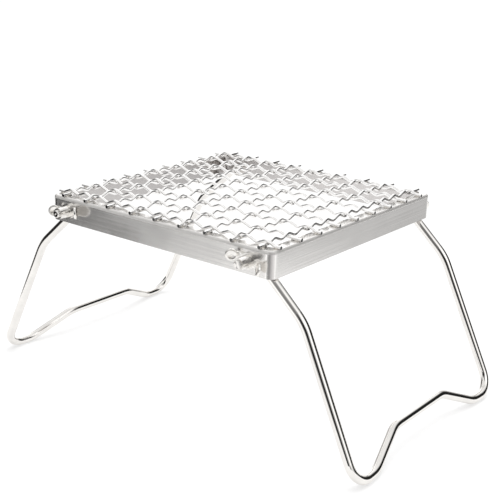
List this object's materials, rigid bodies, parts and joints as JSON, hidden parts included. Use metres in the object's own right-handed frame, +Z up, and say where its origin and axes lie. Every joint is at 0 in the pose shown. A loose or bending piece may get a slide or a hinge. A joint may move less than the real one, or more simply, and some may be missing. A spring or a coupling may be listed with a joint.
{
  "type": "folding camp grill",
  "caption": "Square steel camp grill: woven crimped-wire grate welded on a flanged strip frame, with two bent-rod legs that fold beneath it and are held by wing nuts.",
  "frame": {"origin": "centre of the overall box's bottom face, on the ground under the middle of the frame", "axes": "+X from the left leg to the right leg, +Y from the front strip to the rear strip along the leg pivots, +Z up"},
  "size_m": [0.3714, 0.248, 0.1623],
  "materials": {
    "strip_steel": "brushed stainless strip",
    "wire_steel": "bright drawn wire",
    "rod_steel": "polished round rod",
    "nut_steel": "cast, tumbled bright"
  },
  "bodies": {
    "frame": {"frame_band": "strip_steel", "long_wire_1": "wire_steel", "long_wire_2": "wire_steel", "long_wire_3": "wire_steel", "long_wire_4": "wire_steel", "long_wire_5": "wire_steel", "long_wire_6": "wire_steel", "long_wire_7": "wire_steel", "long_wire_8": "wire_steel", "long_wire_9": "wire_steel", "cross_wire_1": "wire_steel", "cross_wire_2": "wire_steel", "cross_wire_3": "wire_steel", "cross_wire_4": "wire_steel", "cross_wire_5": "wire_steel", "cross_wire_6": "wire_steel", "cross_wire_7": "wire_steel", "cross_wire_8": "wire_steel", "cross_wire_9": "wire_steel"},
    "leg_right": {"leg_right": "rod_steel"},
    "leg_left": {"leg_left": "rod_steel"},
    "wing_nut_front_left": {"wing_nut_front_left": "nut_steel"},
    "wing_nut_front_right": {"wing_nut_front_right": "nut_steel"},
    "wing_nut_rear_left": {"wing_nut_rear_left": "nut_steel"},
    "wing_nut_rear_right": {"wing_nut_rear_right": "nut_steel"}
  },
  "joints": [
    {"name": "leg_right_fold", "type": "hinge", "parent": "frame", "child": "leg_right", "pos_m": [0.09, 0, 0.1472], "axis": [0, 1, 0], "range_deg": [-4, 124]},
    {"name": "leg_left_fold", "type": "hinge", "parent": "frame", "child": "leg_left", "pos_m": [-0.09, 0, 0.1472], "axis": [0, -1, 0], "range_deg": [-4, 115]},
    {"name": "wing_nut_front_left_turn", "type": "hinge", "parent": "leg_left", "child": "wing_nut_front_left", "pos_m": [-0.09, -0.11, 0.1472], "axis": [0, -1, 0], "continuous": true},
    {"name": "wing_nut_front_right_turn", "type": "hinge", "parent": "leg_right", "child": "wing_nut_front_right", "pos_m": [0.09, -0.11, 0.1472], "axis": [0, -1, 0], "continuous": true},
    {"name": "wing_nut_rear_left_turn", "type": "hinge", "parent": "leg_left", "child": "wing_nut_rear_left", "pos_m": [-0.09, 0.11, 0.1472], "axis": [0, 1, 0], "continuous": true},
    {"name": "wing_nut_rear_right_turn", "type": "hinge", "parent": "leg_right", "child": "wing_nut_rear_right", "pos_m": [0.09, 0.11, 0.1472], "axis": [0, 1, 0], "continuous": true}
  ]
}
